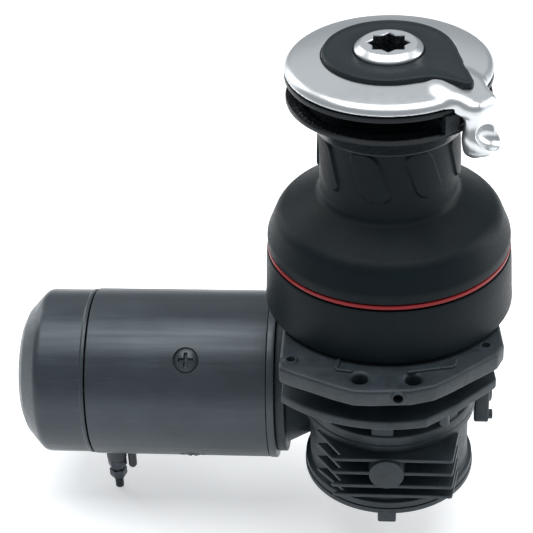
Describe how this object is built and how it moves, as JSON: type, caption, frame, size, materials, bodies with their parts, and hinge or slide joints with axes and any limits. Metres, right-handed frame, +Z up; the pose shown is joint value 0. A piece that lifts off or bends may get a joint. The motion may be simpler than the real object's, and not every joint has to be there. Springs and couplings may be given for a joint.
{
  "type": "electric self-tailing sheet winch",
  "caption": "Electric self-tailing sheet winch: flared black drum with a red trim ring, polished cap and feeder arm, under-deck finned worm gearbox and a horizontal motor.",
  "frame": {"origin": "on the winch axis, in the plane of the flange's ear pads, which meet the underside of the deck", "axes": "+Z up along the winch axis; the motor lies along -X; the finned front of the gearbox faces -Y"},
  "size_m": [0.3127, 0.19, 0.3497],
  "materials": {
    "drum_black": "matt black hard anodised",
    "jaw_black": "satin black moulded",
    "insert_black": "smooth dark slate",
    "trim_red": "glossy red",
    "polished": "polished",
    "casting": "dark painted casting",
    "motor_paint": "satin dark grey",
    "steel": "machined",
    "bronze": "machined bronze",
    "copper": "copper",
    "carbon": "matt carbon",
    "insulator": "matt moulded"
  },
  "bodies": {
    "housing": {"winch_base": "casting", "idler_shaft": "steel", "base_bolt_1": "steel", "base_bolt_2": "steel", "base_bolt_3": "steel", "base_bolt_4": "steel", "lower_drum_bearing": "bronze", "upper_drum_bearing": "bronze", "self_tailing_arm": "polished", "top_insert": "insert_black", "line_stripper": "jaw_black", "mounting_flange": "casting", "gearbox_housing": "casting", "bottom_cover": "casting", "worm_end_cover": "casting", "output_bearing_upper": "steel", "output_bearing_lower": "steel", "motor_adapter": "casting", "drive_end_shield": "motor_paint", "motor_front_bearing": "steel", "motor_tube": "motor_paint", "pole_shoe_1": "steel", "pole_shoe_2": "steel", "pole_shoe_3": "steel", "pole_shoe_4": "steel", "pole_screw_1": "motor_paint", "pole_screw_2": "motor_paint", "pole_screw_3": "motor_paint", "pole_screw_4": "motor_paint", "brush_holder": "insulator", "brush_1": "carbon", "brush_2": "carbon", "worm_bearing_left": "steel", "worm_bearing_right": "steel", "motor_end_cap": "motor_paint", "motor_rear_bearing": "steel", "terminal_insulator": "insulator", "terminal_stud": "copper", "terminal_nut": "steel", "terminal_stub": "insulator"},
    "drum_body": {"drum": "drum_black", "red_ring": "trim_red", "skirt": "drum_black", "drum_ring_gear": "steel", "upper_jaw": "jaw_black", "jaw_spring_1": "steel", "jaw_spring_2": "steel", "jaw_spring_3": "steel"},
    "sprung_jaw": {"lower_jaw": "jaw_black"},
    "spindle_body": {"handle_socket": "polished", "spindle": "steel", "worm_wheel": "bronze"},
    "idler_body": {"idler_gear": "steel", "ratchet_gear": "steel"},
    "pawl_body_1": {"pawl_1": "steel"},
    "pawl_body_2": {"pawl_2": "steel"},
    "armature_body": {"worm_shaft": "steel", "armature_core": "steel", "commutator": "copper"}
  },
  "joints": [
    {"name": "drum_spin", "type": "hinge", "parent": "housing", "child": "drum_body", "pos_m": [0, 0, 0.08], "axis": [0, 0, 1], "continuous": true},
    {"name": "jaw_slide", "type": "slide", "parent": "drum_body", "child": "sprung_jaw", "axis": [0, 0, 1], "range_m": [-0.004, 0], "stiffness_N_per_m": 1500, "springref_m": 0.003, "deforming": ["jaw_spring_1", "jaw_spring_2", "jaw_spring_3"]},
    {"name": "spindle_spin", "type": "hinge", "parent": "housing", "child": "spindle_body", "pos_m": [0, 0, 0], "axis": [0, 0, 1], "continuous": true},
    {"name": "idler_spin", "type": "hinge", "parent": "housing", "child": "idler_body", "pos_m": [0.03678, 0, 0.02], "axis": [0, 0, 1], "continuous": true},
    {"name": "pawl_1_swing", "type": "hinge", "parent": "idler_body", "child": "pawl_body_1", "pos_m": [0.046, 0, 0.0235], "axis": [0, 0, 1], "range_deg": [0, 12], "stiffness_Nm_per_rad": 0.02, "springref_deg": -5.73},
    {"name": "pawl_2_swing", "type": "hinge", "parent": "idler_body", "child": "pawl_body_2", "pos_m": [0.02756, 0, 0.0235], "axis": [0, 0, 1], "range_deg": [0, 12], "stiffness_Nm_per_rad": 0.02, "springref_deg": -5.73},
    {"name": "armature_spin", "type": "hinge", "parent": "housing", "child": "armature_body", "pos_m": [0, 0.038, -0.0921], "axis": [1, 0, 0], "continuous": true}
  ],
  "couplings": [
    {"joint": "idler_spin", "follows": "drum_spin", "ratio": 2.75},
    {"joint": "spindle_spin", "follows": "drum_spin", "ratio": -3.6667},
    {"joint": "armature_spin", "follows": "drum_spin", "ratio": -44}
  ]
}
